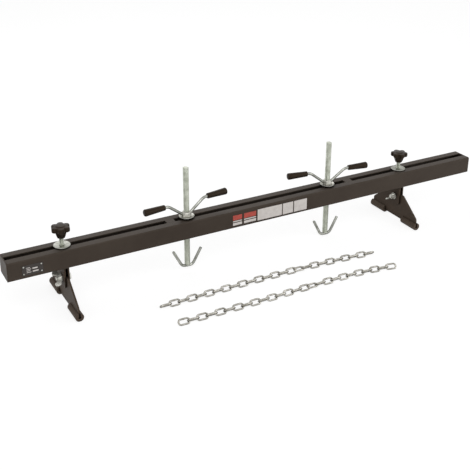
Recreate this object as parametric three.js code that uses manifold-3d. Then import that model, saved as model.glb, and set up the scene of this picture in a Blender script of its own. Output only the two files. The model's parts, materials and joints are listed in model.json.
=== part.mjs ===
// Engine support bar: a slotted steel bar on two clamped feet, with two screw hooks and two loose chains.
// Millimetres, +X along the bar, +Y to the back, +Z up; the floor is at z = 0.

import * as THREE from 'three';
import { mergeVertices } from 'three/addons/utils/BufferGeometryUtils.js';
import Module from 'manifold-3d';

const { degToRad } = THREE.MathUtils;
const wasm = await Module();
wasm.setup();

// Bar: two channels with their backs outwards and a slot between their flanges
const barLength = 1500;
const barWidth = 66;
const barHeight = 51;
const wall = 3;
const bendRadius = 4;
const slotWidth = 18;
const endPlateThickness = 3;
const bridgeSpread = 588;
const bridgeLength = 25;
const bridgeStrapWidth = 42;
const bridgeStrapThickness = 4;

// Places of the clamps in the two end slots, from the bar's end, and of the hooks in the middle slot
const leftClampShare = 0.339;
const rightClampShare = 0.5915;
const leftHookShare = -0.869;
const rightHookShare = 0.78;

// Fits
const seatGap = 0.2;
const runningGap = 0.4;
const cutOverrun = 2;

// Clamp above the bar: fixed stud, washer and star knob
const studRadius = 6;
const studChamfer = 1;
const studInKnob = 9;
const knobClearance = 21.5;
const washerRadius = 22;
const washerThickness = 2.5;
const washerFlatRadius = 11;
const washerRise = 1;
const knobRadius = 25.5;
const knobLobes = 6;
const knobLobeRadius = 7;
const knobValleyRadius = 4.5;
const knobLobeHeight = 12.5;
const knobEdgeBevel = 1.5;
const knobCrownRadius = 12;
const knobCrownHeight = 2;
const hubHeight = 19;
const hubTopRadius = 14;
const hubBottomRadius = 10.2;
const hubFluteDepth = 1.4;
const insertWall = 1.6;
const insertLength = 12;
const knobBoreDepth = 25;
const leftKnobTurn = degToRad(15);
const rightKnobTurn = degToRad(19);

// Bracket under the bar
const bracketDepth = 50;
const bracketWall = 4;
const bracketCornerRadius = 8;
const guideHeight = 12;
const guideSlack = 0.6;
const pivotDrop = 39.5;
const lugMargin = 22;

// Pivot bolt, its washers and the wing nut
const boltRadius = 5;
const boltChamfer = 0.8;
const boltHeadWidth = 17;
const boltHeadHeight = 6.4;
const boltTip = 4;
const pivotWasherRadius = 10.5;
const pivotWasherThickness = 2;
const wingHubRadius = 9;
const wingHubTopRadius = 7.5;
const wingHubHeight = 9;
const wingSpan = 42;
const wingHeight = 19;
const wingThickness = 3.6;
const wingTipRadius = 5.2;
const wingTipLength = 9;
const wingRootHeight = 7.2;
const leftWingTurn = degToRad(50);
const rightWingTurn = degToRad(-47);

// Foot: triangular plate on two slit rubber sleeves
const pivotHeight = 75;
const footPlateThickness = 5;
const footSidePlay = 0.8;
const footNeckHalf = 37;
const footNeckRise = 12;
const footHalf = 104;
const footShoulderHeight = 34;
const footCornerRadius = 12;
const footNeckRadius = 4;
const footEdgeHeight = 8;
const sleeveRadius = 11.4;
const sleeveBore = 4;
const sleeveLength = 64;
const sleeveProud = 4;
const sleeveFlat = 0.5;

// Screw hook: rod, bent prong bar, nut with two handles, dished washer
const rodRadius = 8;
const rodChamfer = 1.5;
const rodLength = 293;
const leftRodTop = 199;
const rightRodTop = 187.5;
const prongRadius = 4;
const prongFlatHalf = 15;
const prongReach = 40.5;
const prongRise = 49;
const prongBendLength = 9;
const nutWidth = 24;
const nutHeight = 22;
const nutCollarRadius = 14.2;
const nutCollarHeight = 3;
const nutTopInset = 2.3;
const dishRadius = 21.5;
const dishFlatRadius = 16.9;
const dishRise = 4.5;
const dishThickness = 2.5;
const handleRadius = 4;
const handleEntry = 6;
const handleRise = 43.5;
const handleBendReach = 57;
const handleBendLength = 9;
const gripInnerReach = 68;
const gripLength = 63;
const gripInnerRadius = 7.8;
const gripOuterRadius = 9.8;
const gripEndRadius = 4;
const gripChamfer = 1;
const gripWallEnd = 9;
const leftHandleTurn = degToRad(5.5);
const rightHandleTurn = degToRad(-7);
const leftProngTurn = degToRad(-7);
const rightProngTurn = degToRad(-3);

// Chains on the floor in front of the bar
const chainLinks = 26;
const linkWire = 4.8;
const linkInnerLength = 25.2;
const linkInnerWidth = 9.4;
const linkFuse = 0.3;
const linkLean = degToRad(45);
const twistLean = degToRad(5);
const rearChainStart = -380;
const rearChainAhead = 150.6;
const rearChainHeadings = [degToRad(-0.2), degToRad(2.2), degToRad(-2.5), degToRad(-7.2)];
const rearLinksToTwist = 16;
const frontChainStart = -372;
const frontChainAhead = 242.9;
const frontChainHeadings = [degToRad(-1.9), degToRad(-2.5), degToRad(8.9), degToRad(-12.8)];
const frontLinksToTwist = 15;

// Facets
const roundSides = 20;
const smallSides = 14;
const tubeSides = 5;
const bendSegments = 2;
const handleSteps = 9;
const prongSteps = 13;
const gripEndSteps = 3;
const hubStepsPerLobe = 4;
const linkSections = 8;
const linkWireSides = 6;

// Finishes
const blackPaint = { color: 0x3d3834, roughness: 0.5, metalness: 0.35 };
const darkPaint = { color: 0x4d443e, roughness: 0.55, metalness: 0.3 };
const zinc = { color: 0xb8bcb4, roughness: 0.32, metalness: 0.9 };
const blackPlastic = { color: 0x2a2420, roughness: 0.45, metalness: 0 };
const rubber = { color: 0x3a342f, roughness: 0.85, metalness: 0 };

const axisX = new THREE.Vector3(1, 0, 0);
const axisY = new THREE.Vector3(0, 1, 0);
const axisZ = new THREE.Vector3(0, 0, 1);

// Solids for cutting and joining

function toSolid(geometry) {
  const bare = new THREE.BufferGeometry();
  bare.setAttribute('position', geometry.getAttribute('position').clone());
  if (geometry.index) bare.setIndex(geometry.index.clone());
  const merged = mergeVertices(bare, 1e-4);
  const vertProperties = new Float32Array(merged.getAttribute('position').array);
  const triVerts = new Uint32Array(merged.index.array);
  return new wasm.Manifold(new wasm.Mesh({ numProp: 3, vertProperties, triVerts }));
}

function toGeometry(solid) {
  const mesh = solid.getMesh();
  const geometry = new THREE.BufferGeometry();
  geometry.setAttribute('position', new THREE.BufferAttribute(new Float32Array(mesh.vertProperties), 3));
  geometry.setIndex(new THREE.BufferAttribute(new Uint32Array(mesh.triVerts), 1));
  geometry.computeVertexNormals();
  return geometry;
}

function join(...geometries) {
  const solids = geometries.map(toSolid);
  return toGeometry(solids.reduce((whole, next) => whole.add(next)));
}

function cut(geometry, ...tools) {
  const solids = tools.map(toSolid);
  return toGeometry(solids.reduce((rest, tool) => rest.subtract(tool), toSolid(geometry)));
}

function meet(first, second) {
  return toGeometry(toSolid(first).intersect(toSolid(second)));
}

// Sections drawn on one plane and drawn out along the third axis, centred on it

function alongZ(shape, length, options = {}) {
  const geometry = new THREE.ExtrudeGeometry(shape, {
    depth: length, bevelEnabled: false, curveSegments: bendSegments, ...options,
  });
  return geometry.translate(0, 0, -length / 2);
}

function alongX(shape, length, options = {}) {
  const turn = new THREE.Matrix4().makeBasis(axisY, axisZ, axisX);
  return alongZ(shape, length, options).applyMatrix4(turn);
}

function alongY(shape, length, options = {}) {
  const turn = new THREE.Matrix4().makeBasis(axisX, axisZ, axisY.clone().negate());
  return alongZ(shape, length, options).applyMatrix4(turn);
}

// A turned solid about Z from its outline in (radius, height), closed on itself or on the axis
function turned(outline, sides = roundSides) {
  const points = outline.map(([radius, height]) => new THREE.Vector2(radius, height));
  return new THREE.LatheGeometry(points, sides).rotateX(Math.PI / 2);
}

function chamferedRod(radius, chamfer, bottom, top, sides = roundSides) {
  return turned([
    [0, bottom], [radius - chamfer, bottom], [radius, bottom + chamfer],
    [radius, top - chamfer], [radius - chamfer, top], [0, top],
  ], sides);
}

function ring(outer, inner, bottom, top, sides = roundSides) {
  return turned([[inner, bottom], [outer, bottom], [outer, top], [inner, top], [inner, bottom]], sides);
}

function drill(radius, bottom, top, sides = roundSides) {
  return turned([[0, bottom], [radius, bottom], [radius, top], [0, top]], sides);
}

function polygonShape(corners, width) {
  const circumradius = width / 2 / Math.cos(Math.PI / corners);
  const shape = new THREE.Shape();
  for (let corner = 0; corner < corners; corner += 1) {
    const angle = (2 * Math.PI * (corner + 0.5)) / corners;
    const x = circumradius * Math.cos(angle);
    const y = circumradius * Math.sin(angle);
    if (corner === 0) shape.moveTo(x, y);
    else shape.lineTo(x, y);
  }
  shape.closePath();
  return shape;
}

// A closed outline whose corners, given as [x, y, radius], are rounded by arcs
function roundedShape(corners) {
  const shape = new THREE.Shape();
  corners.forEach(([x, y, radius], place) => {
    const here = new THREE.Vector2(x, y);
    const [beforeX, beforeY] = corners[(place + corners.length - 1) % corners.length];
    const [afterX, afterY] = corners[(place + 1) % corners.length];
    const towardsBefore = new THREE.Vector2(beforeX, beforeY).sub(here).normalize();
    const towardsAfter = new THREE.Vector2(afterX, afterY).sub(here).normalize();
    const half = Math.acos(towardsBefore.dot(towardsAfter)) / 2;
    const setback = radius / Math.tan(half);
    const start = here.clone().addScaledVector(towardsBefore, setback);
    const end = here.clone().addScaledVector(towardsAfter, setback);
    if (place === 0) shape.moveTo(start.x, start.y);
    else shape.lineTo(start.x, start.y);
    if (radius > 0) {
      const middle = towardsBefore.clone().add(towardsAfter).normalize();
      const centre = here.clone().addScaledVector(middle, radius / Math.sin(half));
      const clockwise = towardsBefore.cross(towardsAfter) > 0;
      const startAngle = start.clone().sub(centre).angle();
      const endAngle = end.clone().sub(centre).angle();
      shape.absarc(centre.x, centre.y, radius, startAngle, endAngle, clockwise);
    }
  });
  shape.closePath();
  return shape;
}

// A round bar along straight runs whose corners are eased by curves
function bentBar(points, bendLength, radius, steps) {
  const path = new THREE.CurvePath();
  let last = points[0];
  for (let place = 1; place < points.length - 1; place += 1) {
    const corner = points[place];
    const entry = corner.clone().addScaledVector(points[place - 1].clone().sub(corner).normalize(), bendLength);
    const exit = corner.clone().addScaledVector(points[place + 1].clone().sub(corner).normalize(), bendLength);
    path.add(new THREE.LineCurve3(last, entry));
    path.add(new THREE.QuadraticBezierCurve3(entry, corner, exit));
    last = exit;
  }
  path.add(new THREE.LineCurve3(last, points[points.length - 1]));
  const section = new THREE.Shape().absarc(0, 0, radius, 0, 2 * Math.PI);
  return new THREE.ExtrudeGeometry(section, {
    extrudePath: path, steps, bevelEnabled: false, curveSegments: tubeSides,
  });
}

function piece(name, geometry, finish) {
  const mesh = new THREE.Mesh(geometry, new THREE.MeshStandardMaterial(finish));
  mesh.name = name;
  return mesh;
}

function groupAt(x, y, z) {
  const group = new THREE.Group();
  group.position.set(x, y, z);
  return group;
}

// Bar, with its underside at z = 0 and its middle plane at y = 0

const topFace = barHeight;
const innerHalfLength = barLength / 2 - endPlateThickness - seatGap;
const middleSlotHalf = bridgeSpread / 2 - bridgeLength / 2;
const endSlotLength = barLength / 2 - endPlateThickness - bridgeSpread / 2 - bridgeLength / 2;

function channelGeometry() {
  const back = -barWidth / 2;
  const tip = -slotWidth / 2;
  const innerRadius = Math.max(bendRadius - wall, 0);
  return alongX(roundedShape([
    [tip, 0, 0],
    [tip, wall, 0],
    [back + wall, wall, innerRadius],
    [back + wall, barHeight - wall, innerRadius],
    [tip, barHeight - wall, 0],
    [tip, barHeight, 0],
    [back, barHeight, bendRadius],
    [back, 0, bendRadius],
  ]), 2 * innerHalfLength);
}

function endPlateGeometry() {
  const half = barWidth / 2;
  return alongX(roundedShape([
    [half, 0, bendRadius],
    [half, barHeight, bendRadius],
    [-half, barHeight, bendRadius],
    [-half, 0, bendRadius],
  ]), endPlateThickness);
}

// A strap under the flanges with a tongue that fills the slot up to the flange's outer face
function bridgeGeometry() {
  const strapHalf = bridgeStrapWidth / 2;
  const tongueHalf = slotWidth / 2 - seatGap;
  const strapTop = -wall - seatGap;
  const strapBottom = strapTop - bridgeStrapThickness;
  return alongX(roundedShape([
    [strapHalf, strapBottom, 0],
    [strapHalf, strapTop, 0],
    [tongueHalf, strapTop, 0],
    [tongueHalf, 0, 0],
    [-tongueHalf, 0, 0],
    [-tongueHalf, strapTop, 0],
    [-strapHalf, strapTop, 0],
    [-strapHalf, strapBottom, 0],
  ]), bridgeLength);
}

function buildBar(bar) {
  const front = piece('front_channel', channelGeometry(), blackPaint);
  const rear = piece('rear_channel', channelGeometry().rotateZ(Math.PI), blackPaint);
  bar.add(front, rear);
  [['left', -1], ['right', 1]].forEach(([side, sign]) => {
    const endPlate = piece(`${side}_end_plate`, endPlateGeometry(), blackPaint);
    endPlate.position.x = sign * (barLength / 2 - endPlateThickness / 2);
    const topBridge = piece(`${side}_top_bridge`, bridgeGeometry(), blackPaint);
    topBridge.position.set(sign * bridgeSpread / 2, 0, topFace);
    const bottomBridge = piece(`${side}_bottom_bridge`, bridgeGeometry().rotateX(Math.PI), blackPaint);
    bottomBridge.position.x = sign * bridgeSpread / 2;
    bar.add(endPlate, topBridge, bottomBridge);
  });
}

// Clamp above the bar

const knobBase = topFace + seatGap + washerThickness + knobClearance;
const insertRadius = studRadius + runningGap + insertWall;

function washerGeometry() {
  const bore = studRadius + runningGap;
  const rimBottom = washerRise;
  return turned([
    [bore, 0],
    [washerFlatRadius, 0],
    [washerRadius, rimBottom],
    [washerRadius, rimBottom + washerThickness],
    [washerFlatRadius, washerThickness],
    [bore, washerThickness],
    [bore, 0],
  ]);
}

// Round lobes on a circle, joined by round valleys that touch them
function starShape() {
  const lobeCentre = knobRadius - knobLobeRadius;
  const halfStep = Math.PI / knobLobes;
  const reach = knobLobeRadius + knobValleyRadius;
  const valleyCentre = lobeCentre * Math.cos(halfStep)
    + Math.sqrt(Math.max(reach ** 2 - (lobeCentre * Math.sin(halfStep)) ** 2, 0));
  const shape = new THREE.Shape();
  for (let lobe = 0; lobe < knobLobes; lobe += 1) {
    const angle = 2 * halfStep * lobe;
    const lobeX = lobeCentre * Math.cos(angle);
    const lobeY = lobeCentre * Math.sin(angle);
    const valleyX = valleyCentre * Math.cos(angle + halfStep);
    const valleyY = valleyCentre * Math.sin(angle + halfStep);
    const lean = Math.atan2(valleyY - lobeY, valleyX - lobeX) - angle;
    shape.absarc(lobeX, lobeY, knobLobeRadius, angle - lean, angle + lean, false);
    const towardsLobe = angle + lean + Math.PI;
    const towardsNext = 2 * (angle + halfStep) - towardsLobe;
    shape.absarc(valleyX, valleyY, knobValleyRadius, towardsLobe, towardsNext, true);
  }
  shape.closePath();
  return shape;
}

// A fluted cone, wider at its top, whose flutes stand below the valleys of the star
function hubGeometry() {
  const shape = new THREE.Shape();
  const steps = knobLobes * hubStepsPerLobe;
  for (let step = 0; step < steps; step += 1) {
    const angle = (2 * Math.PI * step) / steps;
    const radius = hubTopRadius - hubFluteDepth * (1 - Math.cos(knobLobes * angle)) / 2;
    const x = radius * Math.cos(angle);
    const y = radius * Math.sin(angle);
    if (step === 0) shape.moveTo(x, y);
    else shape.lineTo(x, y);
  }
  shape.closePath();
  const overlap = knobLobeHeight / 2;
  const height = hubHeight + overlap;
  const geometry = alongZ(shape, height).translate(0, 0, height / 2);
  const positions = geometry.getAttribute('position');
  for (let place = 0; place < positions.count; place += 1) {
    const along = Math.min(positions.getZ(place) / hubHeight, 1);
    const size = THREE.MathUtils.lerp(hubBottomRadius / hubTopRadius, 1, along);
    positions.setXY(place, positions.getX(place) * size, positions.getY(place) * size);
  }
  return geometry;
}

function knobGeometry() {
  const bevel = knobEdgeBevel;
  const star = alongZ(starShape(), knobLobeHeight - 2 * bevel, {
    bevelEnabled: true, bevelThickness: bevel, bevelSize: bevel, bevelOffset: -bevel, bevelSegments: 1,
    curveSegments: bendSegments,
  }).translate(0, 0, hubHeight + knobLobeHeight / 2);
  const starTop = hubHeight + knobLobeHeight;
  const crown = turned([
    [0, starTop - bevel],
    [knobCrownRadius, starTop - bevel],
    [knobCrownRadius, starTop],
    [knobCrownRadius / 2, starTop + knobCrownHeight],
    [0, starTop + knobCrownHeight],
  ]);
  const insertSeat = drill(insertRadius + seatGap, -cutOverrun, insertLength + seatGap);
  const bore = drill(studRadius + runningGap, -cutOverrun, knobBoreDepth);
  return cut(join(star, hubGeometry(), crown), insertSeat, bore);
}

function buildClamp(side, support, knobTurn) {
  const studBottom = -seatGap - bracketWall;
  const stud = chamferedRod(studRadius, studChamfer, studBottom, knobBase + studInKnob);
  support.add(piece(`${side}_clamp_stud`, stud, zinc));
  const washer = piece(`${side}_clamp_washer`, washerGeometry(), zinc);
  washer.position.z = topFace + seatGap;
  const insert = ring(insertRadius, studRadius + runningGap, 0, insertLength, smallSides);
  const knobInsert = piece(`${side}_knob_insert`, insert, zinc);
  knobInsert.position.z = knobBase;
  const knob = piece(`${side}_star_knob`, knobGeometry(), blackPlastic);
  knob.position.z = knobBase;
  knob.rotation.set(0, 0, knobTurn);
  support.add(washer, knobInsert, knob);
}

// Bracket, guide block and pivot

const lugGap = footPlateThickness + 2 * footSidePlay;
const bracketHalf = lugGap / 2 + bracketWall;

function bracketGeometry() {
  const bottom = -pivotDrop - lugMargin;
  const top = -seatGap;
  const gapHalf = lugGap / 2;
  const section = alongY(roundedShape([
    [-bracketHalf, bottom, 0],
    [-gapHalf, bottom, 0],
    [-gapHalf, top - bracketWall, 0],
    [gapHalf, top - bracketWall, 0],
    [gapHalf, bottom, 0],
    [bracketHalf, bottom, 0],
    [bracketHalf, top, bendRadius],
    [-bracketHalf, top, bendRadius],
  ]), bracketDepth);
  const side = alongX(roundedShape([
    [-bracketDepth / 2, bottom, bracketCornerRadius],
    [bracketDepth / 2, bottom, bracketCornerRadius],
    [bracketDepth / 2, top, 0],
    [-bracketDepth / 2, top, 0],
  ]), 2 * (bracketHalf + cutOverrun));
  const across = bracketHalf + cutOverrun;
  const boltHole = drill(boltRadius + runningGap, -across, across, smallSides);
  boltHole.rotateY(Math.PI / 2).translate(0, 0, -pivotDrop);
  const studHole = drill(studRadius + seatGap, top - bracketWall - cutOverrun, top + cutOverrun, smallSides);
  return cut(meet(section, side), boltHole, studHole);
}

// A block on the bracket that runs in the lower slot, and keeps the bracket square to the bar
function guideGeometry() {
  const width = slotWidth - 2 * guideSlack;
  const block = alongZ(polygonShape(4, width), guideHeight).translate(0, 0, guideHeight / 2);
  return cut(block, drill(studRadius + seatGap, -cutOverrun, guideHeight + cutOverrun, smallSides));
}

const washerOuterFace = bracketHalf + 2 * seatGap + pivotWasherThickness;

// Along Z, with its head at the top and its shank pointing down
function boltGeometry() {
  const headBottom = washerOuterFace;
  const shankEnd = -washerOuterFace - wingHubHeight - boltTip;
  const shank = chamferedRod(boltRadius, boltChamfer, shankEnd, headBottom + boltHeadHeight / 2, smallSides);
  const head = alongZ(polygonShape(6, boltHeadWidth), boltHeadHeight);
  return join(shank, head.translate(0, 0, headBottom + boltHeadHeight / 2));
}

function wingNutGeometry() {
  const hub = turned([
    [0, 0], [wingHubRadius, 0], [wingHubTopRadius, wingHubHeight], [0, wingHubHeight],
  ], smallSides);
  const tip = wingSpan / 2;
  const tipBottom = wingHeight - wingTipRadius - wingTipLength;
  const wings = [1, -1].map((sign) => {
    const ear = alongY(roundedShape([
      [wingHubTopRadius / 2, 0, 0],
      [wingHubRadius, 0, 0],
      [tip, tipBottom, wingTipRadius],
      [tip, wingHeight, wingTipRadius],
      [tip - wingTipLength, wingHeight, wingTipRadius / 2],
      [wingHubTopRadius, wingRootHeight, 0],
      [wingHubTopRadius / 2, wingRootHeight, 0],
    ]), wingThickness);
    return sign > 0 ? ear : ear.rotateZ(Math.PI);
  });
  return cut(join(hub, ...wings), drill(boltRadius + runningGap, -cutOverrun, wingHeight, smallSides));
}

function buildBracket(side, support, wingTurn) {
  support.add(piece(`${side}_bracket`, bracketGeometry(), darkPaint));
  const guide = piece(`${side}_guide_block`, guideGeometry(), darkPaint);
  const pivot = groupAt(0, 0, -pivotDrop);
  const bolt = piece(`${side}_pivot_bolt`, boltGeometry().rotateY(Math.PI / 2), zinc);
  const washer = () => ring(pivotWasherRadius, boltRadius + runningGap, 0, pivotWasherThickness, smallSides)
    .rotateY(Math.PI / 2);
  const headWasher = piece(`${side}_head_washer`, washer(), zinc);
  headWasher.position.x = bracketHalf + seatGap;
  const nutWasher = piece(`${side}_nut_washer`, washer(), zinc);
  nutWasher.position.x = -bracketHalf - seatGap - pivotWasherThickness;
  const wingNut = piece(`${side}_wing_nut`, wingNutGeometry().rotateZ(wingTurn), zinc);
  wingNut.rotation.set(0, -Math.PI / 2, 0);
  wingNut.position.x = -washerOuterFace;
  pivot.add(bolt, headWasher, nutWasher, wingNut);
  support.add(guide, pivot);
}

// Foot, in a frame at its pivot

const sleeveCentre = sleeveRadius - sleeveFlat - pivotHeight;

function footPlateGeometry() {
  const shoulder = footShoulderHeight - pivotHeight;
  const edge = footEdgeHeight - pivotHeight;
  const plate = alongX(roundedShape([
    [-footHalf, edge, 0],
    [footHalf, edge, 0],
    [footHalf, shoulder, footCornerRadius],
    [footNeckHalf, footNeckRise, footNeckRadius],
    [-footNeckHalf, footNeckRise, footNeckRadius],
    [-footHalf, shoulder, footCornerRadius],
  ]), footPlateThickness);
  const hole = drill(boltRadius + runningGap, -footPlateThickness, footPlateThickness, smallSides);
  return cut(plate, hole.rotateY(Math.PI / 2));
}

// A length of thick hose with a slit along its top for the plate, and a flat underneath
function sleeveGeometry() {
  const slitHalf = footPlateThickness / 2 + seatGap;
  const hose = ring(sleeveRadius, sleeveBore, -sleeveLength / 2, sleeveLength / 2).rotateX(Math.PI / 2);
  const slit = new THREE.BoxGeometry(2 * slitHalf, sleeveLength + cutOverrun, sleeveRadius + cutOverrun);
  slit.translate(0, 0, (sleeveRadius + cutOverrun) / 2);
  const ground = new THREE.BoxGeometry(2 * sleeveRadius, sleeveLength + cutOverrun, sleeveRadius);
  ground.translate(0, 0, sleeveFlat - sleeveRadius - sleeveRadius / 2);
  return cut(hose, slit, ground);
}

function buildFoot(side, support) {
  const foot = groupAt(0, 0, -pivotDrop);
  foot.add(piece(`${side}_foot_plate`, footPlateGeometry(), darkPaint));
  [['front', -1], ['rear', 1]].forEach(([end, sign]) => {
    const sleeve = piece(`${side}_${end}_sleeve`, sleeveGeometry(), rubber);
    sleeve.position.set(0, sign * (footHalf + sleeveProud - sleeveLength / 2), sleeveCentre);
    foot.add(sleeve);
  });
  support.add(foot);
}

// Screw hook, in a frame on the bar's middle plane with z = 0 at the bar's underside

const nutBase = topFace + 2 * seatGap + dishThickness;

function dishGeometry() {
  const bore = rodRadius + runningGap;
  return turned([
    [bore, 0],
    [dishFlatRadius - dishRise / 2, 0],
    [dishRadius, dishRise],
    [dishRadius, dishRise + dishThickness / 2],
    [dishRadius - dishThickness / 2, dishRise + dishThickness / 2],
    [dishFlatRadius - dishRise / 2, dishThickness],
    [bore, dishThickness],
    [bore, 0],
  ]);
}

function nutBody(grow) {
  const hexagon = alongZ(polygonShape(6, nutWidth + 2 * grow), nutHeight).translate(0, 0, nutHeight / 2);
  const corner = (nutWidth / 2 + grow) / Math.cos(Math.PI / 6);
  const chamfer = corner - nutWidth / 2;
  const round = turned([
    [0, 0], [corner, 0], [corner, nutHeight - chamfer], [corner - nutTopInset, nutHeight], [0, nutHeight],
  ]);
  const collar = drill(nutCollarRadius + grow, 0, nutCollarHeight);
  return join(meet(hexagon, round), collar);
}

function handleGeometry() {
  const points = [
    new THREE.Vector3(rodRadius, 0, handleEntry),
    new THREE.Vector3(handleBendReach, 0, handleRise),
    new THREE.Vector3(gripInnerReach + gripLength - gripWallEnd - seatGap, 0, handleRise),
  ];
  return cut(bentBar(points, handleBendLength, handleRadius, handleSteps), nutBody(seatGap));
}

// Along Z from its inner end at z = 0, then laid along X
function gripGeometry() {
  const bore = handleRadius + seatGap;
  const shoulder = gripLength - gripEndRadius;
  const outline = [[bore, 0], [gripInnerRadius - gripChamfer, 0], [gripInnerRadius, gripChamfer]];
  const endCurve = new THREE.EllipseCurve(
    gripOuterRadius - gripEndRadius, shoulder, gripEndRadius, gripEndRadius, 0, Math.PI / 2, false, 0,
  );
  endCurve.getPoints(gripEndSteps).forEach((point) => outline.push([point.x, point.y]));
  outline.push([0, gripLength], [0, gripLength - gripWallEnd], [bore, gripLength - gripWallEnd], [bore, 0]);
  return turned(outline, smallSides).rotateY(Math.PI / 2);
}

function prongGeometry(prongAxis) {
  const points = [
    new THREE.Vector3(-prongReach, 0, prongAxis + prongRise),
    new THREE.Vector3(-prongFlatHalf, 0, prongAxis),
    new THREE.Vector3(prongFlatHalf, 0, prongAxis),
    new THREE.Vector3(prongReach, 0, prongAxis + prongRise),
  ];
  return bentBar(points, prongBendLength, prongRadius, prongSteps);
}

function buildHook(side, hook, rodTop, prongTurn, handleTurn) {
  const rodBottom = rodTop - rodLength;
  const dish = piece(`${side}_hook_washer`, dishGeometry(), zinc);
  dish.position.z = topFace + seatGap;
  const rod = piece(`${side}_hook_rod`, chamferedRod(rodRadius, rodChamfer, rodBottom, rodTop), zinc);
  const prong = piece(`${side}_prong_bar`, prongGeometry(rodBottom - prongRadius - seatGap), zinc);
  prong.rotation.set(0, 0, prongTurn);
  hook.add(dish, rod, prong);

  const turning = groupAt(0, 0, nutBase);
  turning.rotation.set(0, 0, handleTurn);
  const bore = drill(rodRadius + runningGap, -cutOverrun, nutHeight + cutOverrun);
  turning.add(piece(`${side}_hook_nut`, cut(nutBody(0), bore), zinc));
  [['left', Math.PI], ['right', 0]].forEach(([hand, angle]) => {
    const arm = groupAt(0, 0, 0);
    arm.rotation.set(0, 0, angle);
    const grip = piece(`${side}_hook_${hand}_grip`, gripGeometry(), blackPlastic);
    grip.position.set(gripInnerReach, 0, handleRise);
    arm.add(piece(`${side}_hook_${hand}_handle`, handleGeometry(), zinc), grip);
    turning.add(arm);
  });
  hook.add(turning);
}

// Chains: oval links of round wire, each a quarter turn from its neighbour

const linkRingRadius = (linkInnerWidth + linkWire) / 2;
const linkHalfStep = Math.PI / linkSections;

function linkStretch() {
  return linkInnerLength / 2 - (linkRingRadius - linkWire / 2) * Math.cos(linkHalfStep);
}

// A ring whose two halves are drawn apart along X, lying in the XY plane
function linkGeometry() {
  const geometry = new THREE.TorusGeometry(linkRingRadius, linkWire / 2, linkWireSides, linkSections);
  geometry.rotateZ(linkHalfStep);
  const positions = geometry.getAttribute('position');
  for (let place = 0; place < positions.count; place += 1) {
    const x = positions.getX(place);
    positions.setX(place, x + Math.sign(x) * linkStretch());
  }
  return geometry;
}

// The chain's direction on the floor, eased between four headings
function headingAt(headings, share) {
  const rest = 1 - share;
  const [first, second, third, last] = headings;
  return first * rest ** 3 + 3 * second * rest ** 2 * share + 3 * third * rest * share ** 2 + last * share ** 3;
}

// Links lean to either side in turn; at the twist one lies nearly flat, and the next ones change sides
function leanAt(place, firstLean, linksToTwist) {
  if (place === linksToTwist) return twistLean;
  const turns = place < linksToTwist ? place : place + 1;
  return turns % 2 === 0 ? firstLean : -firstLean;
}

// The links touch inside one another, and the touching wires are fused so that the chain is one body
function chainGeometry(headings, firstLean, linksToTwist) {
  const pitch = linkInnerLength + linkFuse;
  const spot = new THREE.Vector3();
  const links = Array.from({ length: chainLinks }, (_, place) => {
    const heading = headingAt(headings, place / (chainLinks - 1));
    const link = linkGeometry().rotateX(leanAt(place, firstLean, linksToTwist)).rotateZ(heading);
    link.translate(spot.x, spot.y, 0);
    spot.x += pitch * Math.cos(heading);
    spot.y += pitch * Math.sin(heading);
    return link;
  });
  const chain = join(...links);
  chain.computeBoundingBox();
  return chain.translate(0, 0, -chain.boundingBox.min.z);
}

function buildChains(floor) {
  const rear = piece('rear_chain', chainGeometry(rearChainHeadings, -linkLean, rearLinksToTwist), zinc);
  rear.position.set(rearChainStart, -rearChainAhead, 0);
  const front = piece('front_chain', chainGeometry(frontChainHeadings, linkLean, frontLinksToTwist), zinc);
  front.position.set(frontChainStart, -frontChainAhead, 0);
  floor.add(rear, front);
}

// The whole part, with its origin on the floor under the middle of its outline

const part = new THREE.Group();
const bar = groupAt(0, 0, pivotHeight + pivotDrop);
buildBar(bar);

const clampPlaces = [
  ['left', -(barLength / 2 - endPlateThickness - leftClampShare * endSlotLength), leftKnobTurn, leftWingTurn],
  ['right', barLength / 2 - endPlateThickness - rightClampShare * endSlotLength, rightKnobTurn, rightWingTurn],
];
clampPlaces.forEach(([side, x, knobTurn, wingTurn]) => {
  const support = groupAt(x, 0, 0);
  buildClamp(side, support, knobTurn);
  buildBracket(side, support, wingTurn);
  buildFoot(side, support);
  bar.add(support);
});

const hookPlaces = [
  ['left', leftHookShare * middleSlotHalf, leftRodTop, leftProngTurn, leftHandleTurn],
  ['right', rightHookShare * middleSlotHalf, rightRodTop, rightProngTurn, rightHandleTurn],
];
hookPlaces.forEach(([side, x, rodTop, prongTurn, handleTurn]) => {
  const hook = groupAt(x, 0, 0);
  buildHook(side, hook, rodTop, prongTurn, handleTurn);
  bar.add(hook);
});

part.add(bar);
buildChains(part);

const outline = new THREE.Box3().setFromObject(part);
part.position.y = -(outline.min.y + outline.max.y) / 2;

export default part;
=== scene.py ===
"""Engine support bar: finishes, fine pieces, floor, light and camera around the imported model, in metres."""

import json
import logging
import math
from collections.abc import Callable, Sequence
from dataclasses import dataclass, field
from enum import Enum

import bmesh
import bpy
from mathutils import Matrix, Vector

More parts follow.
